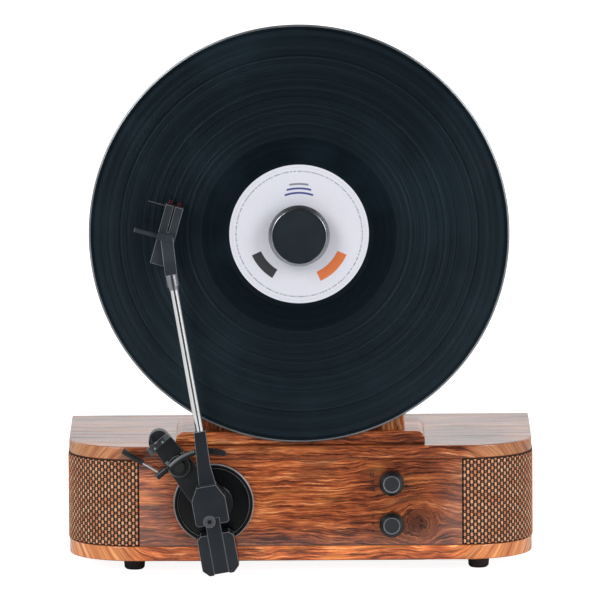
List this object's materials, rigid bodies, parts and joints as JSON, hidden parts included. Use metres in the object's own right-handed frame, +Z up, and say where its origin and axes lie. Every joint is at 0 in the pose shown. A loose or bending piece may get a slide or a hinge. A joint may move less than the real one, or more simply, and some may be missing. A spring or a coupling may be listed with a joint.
{
  "type": "upright record player",
  "caption": "Upright record player: wooden base with cloth-wrapped speaker corners, a vertical record clamped to a belt-driven spindle, and a front tonearm with counterweight and cueing lever.",
  "frame": {"origin": "middle of the footprint, on the surface the feet stand on", "axes": "+X to the right seen from the front, -Y towards the viewer, +Z up"},
  "size_m": [0.3356, 0.198, 0.3961],
  "materials": {
    "veneer": "glossy lacquered veneer with dark streaks",
    "back_wood": "dark stained board",
    "grille_black": "matt black",
    "speaker_cloth": "woven tan and black",
    "fibreboard": "raw fibreboard",
    "basket": "black",
    "cone": "black paper",
    "green_board": "green lacquer",
    "plate_black": "black",
    "socket_brass": "plated",
    "inlet_plastic": "black",
    "foot_rubber": "matt black",
    "screw_steel": "plain",
    "switch_plastic": "moulded",
    "bush_brass": "turned",
    "motor_steel": "plated can",
    "belt_rubber": "matt black",
    "cover_plastic": "fine texture",
    "bezel_black": "gloss black",
    "rest_black": "satin black",
    "spindle_steel": "turned",
    "drum_plastic": "moulded",
    "platter_aluminium": "satin",
    "mat_rubber": "matt",
    "vinyl": "grooved, bluish black",
    "label_paper": "off-white",
    "pulley_brass": "turned",
    "clamp_black": "satin black",
    "ring_aluminium": "satin",
    "turret_black": "satin black",
    "arm_black": "satin black",
    "tube_chrome": "bright",
    "collar_metal": "satin",
    "cartridge_plastic": "moulded",
    "stylus_red": "red",
    "lift_metal": "satin black",
    "stub_screw_metal": "black",
    "weight_iron": "satin black paint",
    "lifter_black": "ribbed",
    "lever_chrome": "bright",
    "grip_rubber": "black",
    "latch_plastic": "light grey",
    "knob_black": "black with a bright bevel"
  },
  "bodies": {
    "cabinet": {"top_board": "veneer", "bottom_board": "veneer", "front_panel": "veneer", "left_side_panel": "veneer", "right_side_panel": "veneer", "back_panel": "back_wood", "plinth": "veneer", "back_board": "veneer", "left_grille_frame": "grille_black", "right_grille_frame": "grille_black", "left_grille_cloth": "speaker_cloth", "right_grille_cloth": "speaker_cloth", "speaker_baffles": "fibreboard", "left_speaker": "basket", "right_speaker": "basket", "speaker_cones": "cone", "circuit_board": "green_board", "jack_plate": "plate_black", "rca_jacks": "socket_brass", "dc_jack": "inlet_plastic", "feet": "foot_rubber", "wood_screws": "screw_steel", "selector_switches": "switch_plastic", "bearing_bush": "bush_brass", "motor": "motor_steel", "drive_belt": "belt_rubber", "motor_cover": "cover_plastic", "arm_bezel": "bezel_black", "rest_plate": "rest_black", "rest_cradle": "rest_black", "cue_boss": "rest_black"},
    "turntable": {"spindle": "spindle_steel", "drive_drum": "drum_plastic", "platter": "platter_aluminium", "slip_mat": "mat_rubber", "record": "vinyl", "record_label": "label_paper"},
    "pulley": {"motor_pulley": "pulley_brass"},
    "clamp": {"record_clamp": "clamp_black", "clamp_ring": "ring_aluminium"},
    "turret": {"arm_turret": "turret_black", "turret_clip": "spindle_steel"},
    "arm": {"arm_housing": "arm_black", "lift_pin": "spindle_steel", "arm_sleeve": "arm_black", "arm_tube": "tube_chrome", "tube_collar": "collar_metal", "headshell": "arm_black", "cartridge": "cartridge_plastic", "stylus": "stylus_red", "finger_lift": "lift_metal", "arm_stub": "arm_black", "stub_screw": "stub_screw_metal"},
    "weight": {"counterweight": "weight_iron"},
    "lifter": {"cue_lifter": "lifter_black"},
    "lever": {"cue_lever": "lever_chrome", "cue_grip": "grip_rubber"},
    "latch": {"rest_latch": "latch_plastic"},
    "speed_knob": {"speed_knob": "knob_black"},
    "source_knob": {"source_knob": "knob_black"}
  },
  "joints": [
    {"name": "record_spin", "type": "hinge", "parent": "cabinet", "child": "turntable", "pos_m": [0, -0.067, 0.2453], "axis": [0, -1, 0], "continuous": true},
    {"name": "motor_spin", "type": "hinge", "parent": "cabinet", "child": "pulley", "pos_m": [0, -0.067, 0.1933], "axis": [0, -1, 0], "continuous": true},
    {"name": "clamp_slide", "type": "slide", "parent": "turntable", "child": "clamp", "axis": [0, -1, 0], "range_m": [0, 0.03]},
    {"name": "arm_sweep", "type": "hinge", "parent": "cabinet", "child": "turret", "pos_m": [-0.0625, -0.067, 0.0513], "axis": [0, -1, 0], "range_deg": [-9.5, 29.2]},
    {"name": "arm_lift", "type": "hinge", "parent": "turret", "child": "arm", "pos_m": [-0.0625, -0.088, 0.0513], "axis": [0.9854, 0, 0.1702], "range_deg": [0, 3.2]},
    {"name": "weight_slide", "type": "slide", "parent": "arm", "child": "weight", "axis": [-0.1702, 0, 0.9854], "range_m": [0, 0.005]},
    {"name": "cue_lift", "type": "slide", "parent": "cabinet", "child": "lifter", "axis": [0, -1, 0], "range_m": [0, 0.0024]},
    {"name": "cue_turn", "type": "hinge", "parent": "cabinet", "child": "lever", "pos_m": [-0.08855, -0.07575, 0.08347], "axis": [0.7771, 0, 0.6293], "range_deg": [0, 80]},
    {"name": "latch_swing", "type": "hinge", "parent": "cabinet", "child": "latch", "pos_m": [-0.1054, -0.096, 0.0957], "axis": [0, -1, 0], "range_deg": [0, 100]},
    {"name": "speed_turn", "type": "hinge", "parent": "cabinet", "child": "speed_knob", "pos_m": [0.0653, -0.067, 0.0656], "axis": [0, -1, 0], "range_deg": [-30, 30]},
    {"name": "source_turn", "type": "hinge", "parent": "cabinet", "child": "source_knob", "pos_m": [0.0653, -0.067, 0.0355], "axis": [0, -1, 0], "range_deg": [-30, 30]}
  ],
  "couplings": [
    {"joint": "motor_spin", "follows": "record_spin", "ratio": 6},
    {"joint": "cue_lift", "follows": "arm_lift", "m_per_rad": 0.0405},
    {"joint": "cue_turn", "follows": "arm_lift", "ratio": 23.4}
  ]
}
